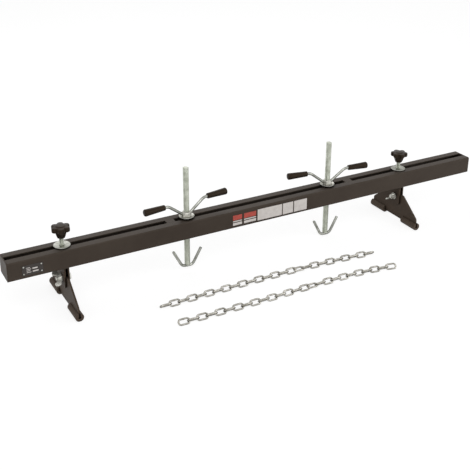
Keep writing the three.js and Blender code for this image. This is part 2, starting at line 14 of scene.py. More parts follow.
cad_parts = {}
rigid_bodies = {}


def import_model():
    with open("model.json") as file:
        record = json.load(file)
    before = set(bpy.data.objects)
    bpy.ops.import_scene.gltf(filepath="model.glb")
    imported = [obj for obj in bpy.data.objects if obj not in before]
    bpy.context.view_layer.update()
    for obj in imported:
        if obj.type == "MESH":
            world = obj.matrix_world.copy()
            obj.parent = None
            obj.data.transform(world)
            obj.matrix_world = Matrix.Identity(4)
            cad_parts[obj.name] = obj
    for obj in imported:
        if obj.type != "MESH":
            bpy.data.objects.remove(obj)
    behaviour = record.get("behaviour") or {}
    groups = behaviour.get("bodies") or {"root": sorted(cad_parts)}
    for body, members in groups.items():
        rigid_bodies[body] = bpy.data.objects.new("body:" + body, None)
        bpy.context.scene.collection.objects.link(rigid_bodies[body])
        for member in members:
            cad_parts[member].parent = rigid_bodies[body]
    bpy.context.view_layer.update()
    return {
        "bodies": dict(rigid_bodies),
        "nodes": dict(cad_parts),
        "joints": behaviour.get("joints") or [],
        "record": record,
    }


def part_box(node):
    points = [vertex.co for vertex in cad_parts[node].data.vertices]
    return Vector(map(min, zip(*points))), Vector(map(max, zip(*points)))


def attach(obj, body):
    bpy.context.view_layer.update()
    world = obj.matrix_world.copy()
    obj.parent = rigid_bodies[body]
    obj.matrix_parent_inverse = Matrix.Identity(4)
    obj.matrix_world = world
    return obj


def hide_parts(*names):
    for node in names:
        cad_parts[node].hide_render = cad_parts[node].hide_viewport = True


LOG = logging.getLogger("support_bar")
JOIN_WITHIN = 1e-6
FULL_TURN = 2 * math.pi

Colour = tuple[float, float, float]
Socket = bpy.types.NodeSocket
Material = bpy.types.Material
Piece = bpy.types.Object
Mesh = bmesh.types.BMesh
Value = float | Colour | Socket
Pair = tuple[float, float]
Profile = Sequence[Pair]
Ring = Callable[[float], Pair]


class Side(Enum):
    """The two ends of the bar, each with its clamp and its hook, and the two handles of a hook's nut."""

    LEFT = "left"
    RIGHT = "right"


# Shader nodes


def linear(code: int) -> Colour:
    """A colour in the shader's linear values.

    Args:
        code: The colour as 0xRRGGBB, as it looks on a screen.

    Returns:
        Red, green and blue from 0 to 1.
    """
    shares = ((code >> 16) & 255, (code >> 8) & 255, code & 255)
    return tuple(((s / 255 + 0.055) / 1.055) ** 2.4 if s > 10 else s / 255 / 12.92 for s in shares)


@dataclass
class NodeTree:
    """The node tree of a material or of the world, with short ways to add to it."""

    tree: bpy.types.NodeTree

    def feed(self, target: Socket, value: Value) -> None:
        """Sets or links one socket.

        Args:
            target: The socket.
            value: A number, a colour, or another node's output.
        """
        if isinstance(value, Socket):
            self.tree.links.new(value, target)
        else:
            target.default_value = (*value, 1.0) if target.type == "RGBA" else value

    def node(
        self, kind: str, inputs: dict[str | int, Value], output: str | int = 0, **settings: object,
    ) -> Socket:
        """Adds a node.

        Args:
            kind: The node's type.
            inputs: Its sockets, each with a number, a colour or another node's output.
            output: The socket that is wanted from it.
            **settings: The node's own settings.

        Returns:
            The output socket.
        """
        made = self.tree.nodes.new(kind)
        for name, value in settings.items():
            setattr(made, name, value)
        for name, value in inputs.items():
            self.feed(made.inputs[name], value)
        return made.outputs[output]

    def level(self, value: Value, low: float, high: float, start: float = 0.3, end: float = 0.7) -> Socket:
        """Turns a value into another range.

        Args:
            value: The socket that is read.
            low: What is given at the range's start.
            high: What is given at its end.
            start: Where the range starts.
            end: Where it ends.

        Returns:
            The new value.
        """
        ends = {"From Min": start, "From Max": end, "To Min": low, "To Max": high}
        return self.node("ShaderNodeMapRange", {"Value": value, **ends})

    def blend(self, share: Value, first: Value, second: Value) -> Socket:
        """Mixes two colours.

        Args:
            share: How much of the second is taken.
            first: The colour at zero.
            second: The colour at one.

        Returns:
            The mixed colour.
        """
        return self.node("ShaderNodeMix", {0: share, 6: first, 7: second}, 2, data_type="RGBA")

    def seen(self) -> Socket:
        """Tells rays that show a surface, straight or in a mirror or glass, from those that light others.

        Returns:
            A value that is one for the first and zero for the rest.
        """
        path = self.tree.nodes.new("ShaderNodeLightPath").outputs
        found = path["Is Camera Ray"]
        for kind in ("Is Glossy Ray", "Is Transmission Ray"):
            found = self.node("ShaderNodeMath", {0: found, 1: path[kind]}, operation="MAXIMUM")
        return found


@dataclass(frozen=True)
class HollowShade:
    """Painted shade: how much a surface's colour darkens where its surroundings close in and little light
    reaches.
    """

    colour: int = 0x3A3731
    reach: float = 0.004
    share: float = 0.75
    closed: float = 0.2
    free: float = 0.8


class Shading(NodeTree):
    """One material and the nodes put into it."""

    def __init__(self, name: str) -> None:
        """Starts a material with one Principled shader.

        Args:
            name: The finish's name.
        """
        self.material = bpy.data.materials.new(name)
        self.material.use_nodes = True
        super().__init__(self.material.node_tree)
        self.shader = self.tree.nodes["Principled BSDF"]
        self.place = self.tree.nodes.new("ShaderNodeTexCoord").outputs["Object"]

    def finished(self, sockets: dict[str, Value]) -> Material:
        """Feeds the shader.

        Args:
            sockets: The shader's sockets, each with a number, a colour or a node's output.

        Returns:
            The material.
        """
        for name, value in sockets.items():
            self.feed(self.shader.inputs[name], value)
        return self.material

    def noise(self, size: float, detail: float = 2.0, stretch: Colour = (1.0, 1.0, 1.0)) -> Socket:
        """Cloudy noise on the piece's own coordinates.

        Args:
            size: The width of one cloud in metres.
            detail: How many finer layers it has.
            stretch: How many times tighter it is along each axis.

        Returns:
            A value near one half.
        """
        spread = self.node("ShaderNodeMapping", {"Vector": self.place, "Scale": stretch})
        return self.node("ShaderNodeTexNoise", {"Vector": spread, "Scale": 1 / size, "Detail": detail})

    def bump(self, height: Socket, depth: float) -> Socket:
        """Relief from a height.

        Args:
            height: A value from 0 to 1.
            depth: How deep the relief is in metres.

        Returns:
            The normal.
        """
        return self.node("ShaderNodeBump", {"Height": height, "Distance": depth})

    def edges(self, width: float) -> Socket:
        """Where the surface turns sharply, for wear on edges and for painted highlights where light catches
        them.

        Args:
            width: How far from the edge it reaches, in metres.

        Returns:
            A value that is one on edges and zero on flat faces.
        """
        rounded = self.node("ShaderNodeBevel", {"Radius": width}, samples=4)
        plain = self.node("ShaderNodeNewGeometry", {}, "Normal")
        alike = self.node("ShaderNodeVectorMath", {0: rounded, 1: plain}, "Value", operation="DOT_PRODUCT")
        return self.level(alike, 1.0, 0.0, start=0.86, end=0.99)

    def with_hollow_shade(self, body: Socket, hollow_shade: HollowShade) -> tuple[Socket, Socket]:
        """Paints shade into a colour where its surroundings close in, as ambient occlusion finds them.

        Args:
            body: The colour in the open.
            hollow_shade: How it darkens.

        Returns:
            The colour with painted shade in its hollows, and how open the surroundings are, from 0 to 1.
        """
        # Painted shade: ambient occlusion darkens the colour where little light would reach
        open_share = self.node("ShaderNodeAmbientOcclusion", {"Distance": hollow_shade.reach}, "AO", samples=6)
        share = self.level(open_share, hollow_shade.share, 0.0, hollow_shade.closed, hollow_shade.free)
        return self.blend(share, body, linear(hollow_shade.colour)), open_share

    def coated(self, body: Socket, clouds: Socket, look: "Paint | Moulding") -> Material:
        """Feeds the shader of paint or plastic, with painted shade in hollows on both its colour and its
        gloss.

        Args:
            body: The colour in the open.
            clouds: What makes the roughness uneven.
            look: The finish.

        Returns:
            The material.
        """
        body, open_share = self.with_hollow_shade(body, look.hollow_shade)
        return self.finished({
            "Base Color": body,
            "Roughness": self.level(clouds, *(look.roughness + change for change in look.uneven)),
            # Painted shade: the gloss fades in hollows, where little light would reach
            "Specular IOR Level": self.level(open_share, 0.0, look.gloss, start=0.25, end=0.8),
            "Specular Tint": look.sheen,
            "Normal": self.bump(self.noise(look.grain_size), look.grain_depth),
        })


# Finishes


@dataclass(frozen=True)
class Paint:
    """Sprayed paint on steel, with a fine orange peel and cloudy gloss, edges lighter in specks, partly as
    wear from rubbing and partly as a painted highlight, and painted shade in hollows.
    """

    name: str
    colour: int
    deep: int
    rubbed_and_highlit: int
    roughness: float
    gloss: float
    uneven: Pair = (-0.06, 0.07)
    cloud_size: float = 0.09
    streak_size: float = 0.02
    streak_stretch: Colour = (0.12, 1.0, 1.0)
    speck_size: float = 0.004
    grain_size: float = 0.0016
    grain_depth: float = 0.00002
    edge_width: float = 0.0012
    sheen: Colour = (1.0, 0.84, 0.7)
    # Painted shade: nearly black deep in hollows, such as the bar's slot
    hollow_shade: HollowShade = HollowShade(0x060403, 0.03, 1.0, 0.35, 0.9)

    def build(self) -> Material:
        """Makes the material."""
        s = Shading(self.name)
        deep = linear(self.deep)
        clouds = s.noise(self.cloud_size, 4.0)
        body = s.blend(s.level(clouds, 0.0, 1.0), deep, linear(self.colour))
        body = s.blend(s.level(s.noise(self.streak_size, 3.0, self.streak_stretch), 0.0, 0.25), body, deep)
        specks = s.level(s.noise(self.speck_size), 0.2, 1.0, start=0.4, end=0.62)
        # Lighter specks on edges: partly wear from rubbing, partly a painted highlight where light catches
        # the edge
        worn_and_highlit = s.node("ShaderNodeMath", {0: s.edges(self.edge_width), 1: specks}, operation="MULTIPLY")
        body = s.blend(s.level(worn_and_highlit, 0.0, 0.75, start=0.0, end=1.0), body, linear(self.rubbed_and_highlit))
        return s.coated(body, clouds, self)


@dataclass(frozen=True)
class Zinc:
    """Zinc plating, cloudy, with fine drawing marks, a faint green and yellow cast, and painted shade in its
    seams and where parts touch.
    """

    name: str
    bright: int = 0xC8C8C4
    cast: int = 0x9C9D94
    roughness: float = 0.3
    metallic: float = 0.92
    marks: Colour = (1.0, 1.0, 1.0)
    grazing: Colour = (0.3, 0.3, 0.27)
    # Painted shade in seams and where parts touch
    seam_shade: HollowShade = HollowShade()
    uneven: Pair = (0.08, -0.05)
    cloud_size: float = 0.014
    mark_size: float = 0.0016
    mark_depth: float = 0.000012

    def build(self) -> Material:
        """Makes the material."""
        s = Shading(self.name)
        cast = linear(self.cast)
        clouds = s.noise(self.cloud_size, 4.0)
        fine = s.noise(self.mark_size, 3.0, self.marks)
        tone = s.blend(s.level(clouds, 0.0, 1.0), cast, linear(self.bright))
        body = s.blend(s.level(fine, 0.0, 0.35, start=0.45, end=0.75), tone, cast)
        return s.finished({
            # Painted shade: the colour darkens in seams and where parts touch
            "Base Color": s.with_hollow_shade(body, self.seam_shade)[0],
            "Specular Tint": self.grazing,
            "Metallic": self.metallic,
            "Roughness": s.level(clouds, *(self.roughness + change for change in self.uneven)),
            "Normal": s.bump(fine, self.mark_depth),
        })


@dataclass(frozen=True)
class Moulding:
    """Moulded plastic or rubber with a fine grain, a greyer haze in random clouds, the same grey as a painted
    highlight along its edges, and painted shade in its hollows.
    """

    name: str
    colour: int
    bloom_and_edge_highlight: int
    roughness: float
    grain_size: float
    grain_depth: float
    gloss: float
    uneven: Pair = (-0.05, 0.08)
    cloud_size: float = 0.02
    edge_width: float = 0.001
    sheen: Colour = (1.0, 0.8, 0.62)
    # Painted shade in hollows, such as a sleeve's slit and the knob's flutes
    hollow_shade: HollowShade = HollowShade(0x0E0A07, 0.008, 0.95, 0.25, 0.8)

    def build(self) -> Material:
        """Makes the material."""
        s = Shading(self.name)
        bloom_and_edge_highlight = linear(self.bloom_and_edge_highlight)
        clouds = s.noise(self.cloud_size, 3.0)
        body = s.blend(s.level(clouds, 0.0, 0.45), linear(self.colour), bloom_and_edge_highlight)
        # Painted highlight: the edges are lightened towards the greyer haze colour
        body = s.blend(s.level(s.edges(self.edge_width), 0.0, 0.5, start=0.0, end=1.0), body, bloom_and_edge_highlight)
        return s.coated(body, clouds, self)


@dataclass(frozen=True)
class Film:
    """A printed film with a satin face and a little dirt in it."""

    name: str
    colour: int
    soiled: int
    roughness: float = 0.38
    rougher: float = 0.1
    cloud_size: float = 0.012
    grain_size: float = 0.0025
    grain_depth: float = 0.00001

    def build(self) -> Material:
        """Makes the material."""
        s = Shading(self.name)
        clouds = s.noise(self.cloud_size, 4.0)
        soil = s.level(clouds, 0.0, 1.0, start=0.35, end=0.75)
        return s.finished({
            "Base Color": s.blend(soil, linear(self.colour), linear(self.soiled)),
            "Roughness": s.level(clouds, self.roughness, self.roughness + self.rougher),
            "Normal": s.bump(s.noise(self.grain_size), self.grain_depth),
        })


class Finishes:
    """All finishes of the object, made once."""

    def __init__(self) -> None:
        """Builds every material."""
        self.bar_paint = Paint("bar_paint", 0x473F38, 0x3D352F, 0x6E6256, 0.46, 0.17).build()
        self.foot_paint = Paint("foot_paint", 0x53463B, 0x40352C, 0x7C6D5F, 0.54, 0.15).build()
        self.zinc = Zinc("bright_zinc", seam_shade=HollowShade(reach=0.007)).build()
        self.rod_zinc = Zinc(
            "rod_zinc", 0xE4E7DD, 0xC0C4B6, 0.32, 0.9, marks=(1.0, 1.0, 0.12), seam_shade=HollowShade(share=0.3),
        ).build()
        self.handle_zinc = Zinc(
            "handle_zinc", 0xB6B7B0, 0x7C7D76, 0.24, 0.9, grazing=(0.1, 0.1, 0.09),
        ).build()
        # Painted light: a brighter, less metallic copy of the zinc for the small hardware, lightened to look
        # lit where it sits in shade
        self.lit_nut_zinc = Zinc("lit_nut_zinc", 0xEFEEE7, 0xB2B1A8, 0.3, 0.6, seam_shade=HollowShade(reach=0.006)).build()
        # Painted shade: the links darken where they meet one another
        self.link_zinc = Zinc(
            "link_zinc", 0xC9C6BE, 0x88857C, 0.24, 0.95, grazing=(0.12, 0.12, 0.11),
            seam_shade=HollowShade(0x1E1C19, 0.009, 0.9),
        ).build()
        self.plastic = Moulding("knob_plastic", 0x1D160F, 0x34291F, 0.36, 0.0011, 0.00002, 0.19).build()
        self.rubber = Moulding("sleeve_rubber", 0x463B33, 0x5F5348, 0.6, 0.0009, 0.00003, 0.3).build()
        self.pale_film = Film("pale_film", 0xE2DCD7, 0xD2CBC6).build()
        self.red_film = Film("red_film", 0xC04C3E, 0xA9463A).build()
        self.dark_film = Film("dark_film", 0x2D2723, 0x3A332E).build()
        LOG.info("finishes: %d materials", len(vars(self)))


# Modelling


def choose(piece: Piece | None = None) -> None:
    """Leaves one object selected and active, or none.

    Args:
        piece: The object, or None to deselect everything.
    """
    bpy.ops.object.select_all(action="DESELECT")
    bpy.context.view_layer.objects.active = piece
    if piece is not None:
        piece.select_set(True)


def named(name: str) -> Piece:
    """Names the object that was just added.

    Args:
        name: Its new name.

    Returns:
        The object.
    """
    made = bpy.context.object
    made.name = name
    made.data.name = name
    return made


def edit(piece: Piece) -> Mesh:
    """Opens a piece in edit mode with all of it selected.

    Args:
        piece: The piece.

    Returns:
        Its edit mesh.
    """
    choose(piece)
    bpy.ops.object.mode_set(mode="EDIT")
    bpy.ops.mesh.select_mode(type="VERT")
    bpy.ops.mesh.select_all(action="SELECT")
    return bmesh.from_edit_mesh(piece.data)


def pick_edges(shape: Mesh, test: Callable[[bmesh.types.BMEdge], bool]) -> None:
    """Selects edges in edit mode.

    Args:
        shape: The edit mesh.
        test: Says yes to an edge.
    """
    bpy.ops.mesh.select_mode(type="EDGE")
    bpy.ops.mesh.select_all(action="DESELECT")
    for edge in shape.edges:
        if test(edge):
            edge.select_set(True)


def close(piece: Piece, angle: float, chamfer: float = 0.0) -> Piece:
    """Joins doubles, turns the faces outwards, leaves edit mode and shades smooth.

    Args:
        piece: The piece, in edit mode.
        angle: From how many degrees an edge is sharp.
        chamfer: The width of the bevel on its sharp edges.

    Returns:
        The piece.
    """
    bpy.ops.mesh.select_all(action="SELECT")
    bpy.ops.mesh.remove_doubles(threshold=JOIN_WITHIN)
    bpy.ops.mesh.delete_loose()
    bpy.ops.mesh.select_all(action="SELECT")
    bpy.ops.mesh.normals_make_consistent(inside=False)
    bpy.ops.object.mode_set(mode="OBJECT")
    if chamfer:
        with_modifier(piece, "BEVEL", width=chamfer, segments=2, limit_method="ANGLE", angle_limit=1.0)
    choose(piece)
    bpy.ops.object.shade_smooth_by_angle(angle=math.radians(angle))
    return piece


def capped(piece: Piece, angle: float, chamfer: float = 0.0) -> Piece:
    """Fills the open ends of a piece in edit mode and closes it.

    Args:
        piece: The piece, in edit mode.
        angle: From how many degrees an edge is sharp.
        chamfer: The width of the bevel on its sharp edges.

    Returns:
        The piece.
    """
    pick_edges(bmesh.from_edit_mesh(piece.data), lambda edge: edge.is_boundary)
    bpy.ops.mesh.edge_face_add()
    return close(piece, angle, chamfer)


def with_modifier(piece: Piece, kind: str, **settings: object) -> None:
    """Adds a modifier and applies it.

    Args:
        piece: The piece.
        kind: The modifier's type.
        **settings: Its settings.
    """
    choose(piece)
    made = piece.modifiers.new(kind.lower(), kind)
    for name, value in settings.items():
        setattr(made, name, value)
    bpy.ops.object.modifier_apply(modifier=made.name)


def placed(piece: Piece, where: Matrix | Vector) -> Piece:
    """Puts a piece's place into its mesh, with the object at the origin.

    Args:
        piece: The piece, modelled at the origin.
        where: Its place, or its place and turn.

    Returns:
        The piece.
    """
    piece.data.transform(where if isinstance(where, Matrix) else Matrix.Translation(where))
    return piece


def stood(where: Vector, turn: float) -> Matrix:
    """A place and a turn about Z.

    Args:
        where: The place.
        turn: The angle in radians.

    Returns:
        Both as one matrix.
    """
    return Matrix.Translation(where) @ Matrix.Rotation(turn, 4, "Z")


def joined(name: str, pieces: Sequence[Piece]) -> Piece:
    """Joins several pieces into one object.

    Args:
        name: The name of the whole.
        pieces: The pieces.

    Returns:
        The joined piece.
    """
    choose(pieces[0])
    for piece in pieces:
        piece.select_set(True)
    bpy.ops.object.join()
    return named(name)


def repeated(name: str, master: Piece, places: Sequence[Matrix]) -> Piece:
    """Repeats a piece and joins the copies into one object.

    Args:
        name: The name of the whole.
        master: The piece that is repeated, and then removed.
        places: Each copy's place and turn.

    Returns:
        The joined piece.
    """
    copies = []
    for where in places:
        made = master.copy()
        made.data = master.data.copy()
        bpy.context.scene.collection.objects.link(made)
        copies.append(placed(made, where))
    bpy.data.objects.remove(master)
    return joined(name, copies)


def drawn(name: str, outline: Profile) -> Piece:
    """A closed line in the XZ plane.

    Args:
        name: The piece's name.
        outline: Its points as (radius, height) in metres.

    Returns:
        The line.
    """
    choose()
    bpy.ops.mesh.primitive_circle_add(vertices=len(outline), radius=1)
    piece = named(name)
    for vertex, (radius, height) in zip(piece.data.vertices, outline):
        vertex.co = (radius, 0.0, height)
    return piece


def turned(name: str, outline: Profile, sides: int) -> Piece:
    """A piece turned about Z from its outline.

    Args:
        name: The piece's name.
        outline: Points of (radius, height) in metres, closed by its last run.
        sides: How many faces go round.

    Returns:
        The piece.
    """
    piece = drawn(name, outline)
    edit(piece)
    bpy.ops.mesh.spin(steps=sides, angle=FULL_TURN, center=(0, 0, 0), axis=(0, 0, 1))
    return close(piece, 32)


def lofted(name: str, count: int, rings: Sequence[Ring], angle: float) -> Piece:
    """A closed piece drawn through level rings round Z.

    Args:
        name: The piece's name.
        count: How many points each ring has.
        rings: For each ring, what gives its radius and height at an angle.
        angle: From how many degrees an edge is sharp.

    Returns:
        The piece.
    """
    choose()
    bpy.ops.mesh.primitive_circle_add(vertices=count, radius=rings[0](0.0)[0])
    piece = named(name)
    edit(piece)
    for place, ring in enumerate(rings):
        if place:
            bpy.ops.mesh.extrude_region_move(TRANSFORM_OT_translate={"value": (0, 0, 0)})
        for vertex in bmesh.from_edit_mesh(piece.data).verts:
            if vertex.select:
                way = math.atan2(vertex.co.y, vertex.co.x)
                radius, height = ring(way)
                vertex.co = (radius * math.cos(way), radius * math.sin(way), height)
    return capped(piece, angle)


@dataclass(frozen=True)
class Thread:
    """A screw thread's size, and the rod that it is cut on."""

    radius: float
    depth: float
    pitch: float
    steps: int = 20
    end_taper: float = 1.6
    turn_profile: Profile = ((0.0, 0.0), (0.0, 0.15), (1.0, 0.45), (1.0, 0.65), (0.0, 1.0))

    def rod(self, name: str, length: float) -> Piece:
        """A threaded rod with chamfered ends that stands on the origin.

        Args:
            name: The rod's name.
            length: Its length in metres.

        Returns:
            The rod.
        """
        root = self.radius - self.depth
        piece = drawn(name, [
            (root + self.depth * out, self.pitch * (share - 1)) for out, share in self.turn_profile
        ])
        shape = edit(piece)
        # One turn is an open line, so the edge that closes it goes: the longest, a whole pitch
        shape.edges.remove(max(shape.edges, key=lambda edge: edge.calc_length()))
        bmesh.update_edit_mesh(piece.data)
        bpy.ops.object.mode_set(mode="OBJECT")
        turns = math.ceil(length / self.pitch) + 2
        with_modifier(
            piece, "SCREW", angle=FULL_TURN, screw_offset=self.pitch, iterations=turns, steps=self.steps,
            render_steps=self.steps,
        )
        edit(piece)
        bpy.ops.mesh.remove_doubles(threshold=JOIN_WITHIN)
        narrow = (self.radius - self.end_taper * self.depth) / self.radius
        for height, out in ((0, -1), (length, 1)):
            cut = (0, 0, height - out * self.depth)
            bpy.ops.mesh.select_all(action="SELECT")
            bpy.ops.mesh.bisect(plane_co=cut, plane_no=(0, 0, out), use_fill=False, clear_outer=True)
            bpy.ops.mesh.extrude_region_move(TRANSFORM_OT_translate={"value": (0, 0, out * self.depth)})
            bpy.ops.transform.resize(value=(narrow, narrow, 1), center_override=(0, 0, height))
            bpy.ops.mesh.edge_face_add()
        return close(piece, 24)


@dataclass
class BentRod:
    """A round rod bent in the XZ plane, drawn out leg by leg."""

    name: str
    radius: float
    start: Pair
    heading: float
    sides: int = 20
    bend_steps: int = 8
    piece: Piece = field(init=False)

    def __post_init__(self) -> None:
        """Adds the first section and opens it."""
        choose()
        bpy.ops.mesh.primitive_circle_add(
            vertices=self.sides, radius=self.radius, location=(self.start[0], 0, self.start[1]),
            rotation=(0.0, math.pi / 2 - self.heading, 0.0),
        )
        self.piece = named(self.name)
        bpy.ops.object.transform_apply(location=True, rotation=True, scale=True)
        edit(self.piece)

    def straight(self, length: float) -> "BentRod":
        """Draws the rod straight on.

        Args:
            length: How far, in metres.

        Returns:
            The rod.
        """
        step = Vector((math.cos(self.heading), 0, math.sin(self.heading))) * length
        bpy.ops.mesh.extrude_region_move(TRANSFORM_OT_translate={"value": step})
        self.start = (self.start[0] + step.x, self.start[1] + step.z)
        return self

    def bend(self, angle: float, setback: float) -> "BentRod":
        """Bends the rod.

        Args:
            angle: How far it turns towards +Z, in radians.
            setback: How far before and after the corner the bend reaches.

        Returns:
            The rod.
        """
        radius = math.copysign(setback / math.tan(abs(angle) / 2), angle)
        x = self.start[0] - radius * math.sin(self.heading)
        z = self.start[1] + radius * math.cos(self.heading)
        bpy.ops.mesh.spin(steps=self.bend_steps, angle=angle, center=(x, 0, z), axis=(0, 1, 0))
        self.heading += angle
        self.start = (x + radius * math.sin(self.heading), z - radius * math.cos(self.heading))
        return self

    def done(self, chamfer: float = 0.0) -> Piece:
        """Closes both ends.

        Args:
            chamfer: The width of the bevel on both.

        Returns:
            The finished rod.
        """
        return capped(self.piece, 40, chamfer)


def dress(piece: Piece, finish: Material) -> Piece:
    """Gives a piece its finish.

    Args:
        piece: A new piece or a CAD node.
        finish: The material.

    Returns:
        The piece.
    """
    if not piece.material_slots:
        piece.data.materials.append(finish)
    for holder in piece.material_slots:
        holder.material = finish
    return piece


def fit(piece: Piece, finish: Material, body: str, slot: str, *nodes: str) -> None:
    """Dresses a new piece and ties it to the frame.

    Args:
        piece: The new piece.
        finish: Its material.
        body: The body that it moves with.
        slot: The record's material slot; not used.
        *nodes: The CAD nodes that it stands for.
    """
    dress(piece, finish)
    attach(piece, body)
    if nodes:
        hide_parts(*nodes)
    LOG.info("%s rides on %s, %d faces", piece.name, body, len(piece.data.polygons))


# Assemblies


@dataclass
class Assembly:
    """A group of pieces that is dressed and detailed together."""

    frame: dict
    finishes: Finishes

    def ease(self, node: str, finish: Material, width: float) -> None:
        """Dresses a CAD node and eases its sharp edges.

        Args:
            node: The node's name.
            finish: Its material.
            width: The width of the eased edge.
        """
        piece = dress(self.frame["nodes"][node], finish)
        piece.modifiers.new("weld", "WELD").merge_threshold = JOIN_WITHIN
        bevel = piece.modifiers.new("eased edge", "BEVEL")
        bevel.width = width
        bevel.segments = 2
        bevel.limit_method = "ANGLE"
        bevel.angle_limit = math.radians(40)
        piece.modifiers.new("even shading", "WEIGHTED_NORMAL").keep_sharp = False
        LOG.info("%s dressed in %s", node, finish.name)


@dataclass
class SideAssembly(Assembly):
    """A group of pieces that each end of the bar has."""

    side: Side

    def node(self, part: str) -> str:
        """The full name of one of this side's nodes or bodies."""
        return f"{self.side.value}_{part}"

    def seat(self, part: str) -> Vector:
        """The middle of a node's underside."""
        low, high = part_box(self.node(part))
        return Vector(((low.x + high.x) / 2, (low.y + high.y) / 2, low.z))

    def add_threaded(self, name: str, thread: Thread, body: str, part: str) -> None:
        """Adds a threaded rod in the place of a plain one.

        Args:
            name: The new piece's name.
            thread: Its thread.
            body: The body that it rides on.
            part: The plain rod.
        """
        low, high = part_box(self.node(part))
        rod = placed(thread.rod(self.node(name), high.z - low.z), self.seat(part))
        fit(rod, self.finishes.rod_zinc, self.node(body), "zinc", self.node(part))


@dataclass
class Bar(Assembly):
    """The slotted bar, with bare panels and a riveted plate on its front.

    Spans are (left, right) from the bar's left end, and heights (bottom, top) from its underside.
    """

    edge_width: float = 0.0003
    corner: float = 0.0008
    sunk: float = 0.00005
    panel_thickness: float = 0.0003
    panel_spans: Profile = ((0.7116, 0.7923), (0.7953, 0.8299), (0.8333, 0.8771))
    panel_height: Pair = (0.0073, 0.0414)
    block_spans: Profile = ((0.6324, 0.6611), (0.6675, 0.7064))
    red_height: Pair = (0.025, 0.0395)
    thin_height: Pair = (0.0195, 0.0228)
    low_height: Pair = (0.009, 0.0168)
    plate_span: Pair = (0.0375, 0.091)
    plate_height: Pair = (0.0092, 0.0366)
    plate_thickness: float = 0.0006
    field_thickness: float = 0.0007
    field_rise: float = 0.0062
    field_trim: float = 0.0022
    rivet_radius: float = 0.0021
    rivet_inset: float = 0.004
    low: Vector = field(init=False)
    middle_y: float = field(init=False)

    def __post_init__(self) -> None:
        """Reads the bar's place from the frame."""
        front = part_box("front_channel")[0]
        self.low = Vector((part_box("left_end_plate")[0].x, front.y, front.z))
        self.middle_y = (front.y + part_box("rear_channel")[1].y) / 2

    def build(self) -> None:
        """Dresses the bar and adds what is fixed to its front."""
        nodes = ["front_channel", "rear_channel"]
        for side in Side:
            nodes += [f"{side.value}_{part}" for part in ("end_plate", "top_bridge", "bottom_bridge")]
        for node in nodes:
            self.ease(node, self.finishes.bar_paint, self.edge_width)
        self.add_panels()
        self.add_rating_plate()

    def slab(
        self, name: str, span: Pair, height: Pair, thickness: float,
    ) -> Piece:
        """A thin plate with rounded corners on the bar's front face.

        Args:
            name: The plate's name.
            span: Its left and right edge.
            height: Its lower and upper edge.
            thickness: How far it stands out.

        Returns:
            The plate.
        """
        low = self.low + Vector((span[0], -thickness, height[0]))
        high = self.low + Vector((span[1], self.sunk, height[1]))
        choose()
        bpy.ops.mesh.primitive_cube_add(size=1, location=(low + high) / 2, scale=high - low)
        piece = named(name)
        bpy.ops.object.transform_apply(location=True, rotation=True, scale=True)
        pick_edges(edit(piece), lambda edge: abs(edge.verts[0].co.y - edge.verts[1].co.y) > thickness / 2)
        bpy.ops.mesh.bevel(offset=self.corner, segments=5, affect="EDGES")
        return close(piece, 35)

    def add_panels(self) -> None:
        """Adds the row of bare panels in the middle of the front."""
        pale, red = self.finishes.pale_film, self.finishes.red_film
        panel = (("pale_panel", pale, self.panel_height),)
        block = (
            ("red_field", red, self.red_height), ("thin_field", pale, self.thin_height),
            ("low_field", pale, self.low_height),
        )
        for spans, rows in ((self.panel_spans, panel), (self.block_spans, block)):
            for place, span in enumerate(spans, 1):
                for name, finish, height in rows:
                    piece = self.slab(f"{name}_{place}", span, height, self.panel_thickness)
                    fit(piece, finish, "bar", "black_paint")

    def add_rating_plate(self) -> None:
        """Adds the bare plate near the left end, its blank fields and its four rivets."""
        (start, end), (bottom, top) = self.plate_span, self.plate_height
        plate = self.slab("rating_plate", self.plate_span, self.plate_height, self.plate_thickness)
        fit(plate, self.finishes.dark_film, "bar", "black_paint")

        blanks = []
        columns = ((0.0108, 0.0228, 4, 0.0016, 0.0042), (0.0262, 0.0412, 2, 0.0034, 0.0082))
        for left, right, rows, tall, step in columns:
            for row in range(rows):
                span = (start + left, start + right - self.field_trim * (row % 2))
                low = bottom + self.field_rise + step * row
                blanks.append(self.slab("blank_field", span, (low, low + tall), self.field_thickness))
        fit(joined("blank_fields", blanks), self.finishes.pale_film, "bar", "black_paint")

        profile = ((0, 0.62), (0.5, 0.54), (0.85, 0.3), (1, 0), (0, 0))
        dome = turned("rivet", [(self.rivet_radius * out, self.rivet_radius * up) for out, up in profile], 20)
        forward = Matrix.Rotation(math.pi / 2, 4, "X")
        inset = self.rivet_inset
        places = [
            Matrix.Translation(self.low + Vector((x, -self.plate_thickness, z))) @ forward
            for x in (start + inset, end - inset) for z in (bottom + inset, top - inset)
        ]
        fit(repeated("plate_rivets", dome, places), self.finishes.zinc, "bar", "zinc")


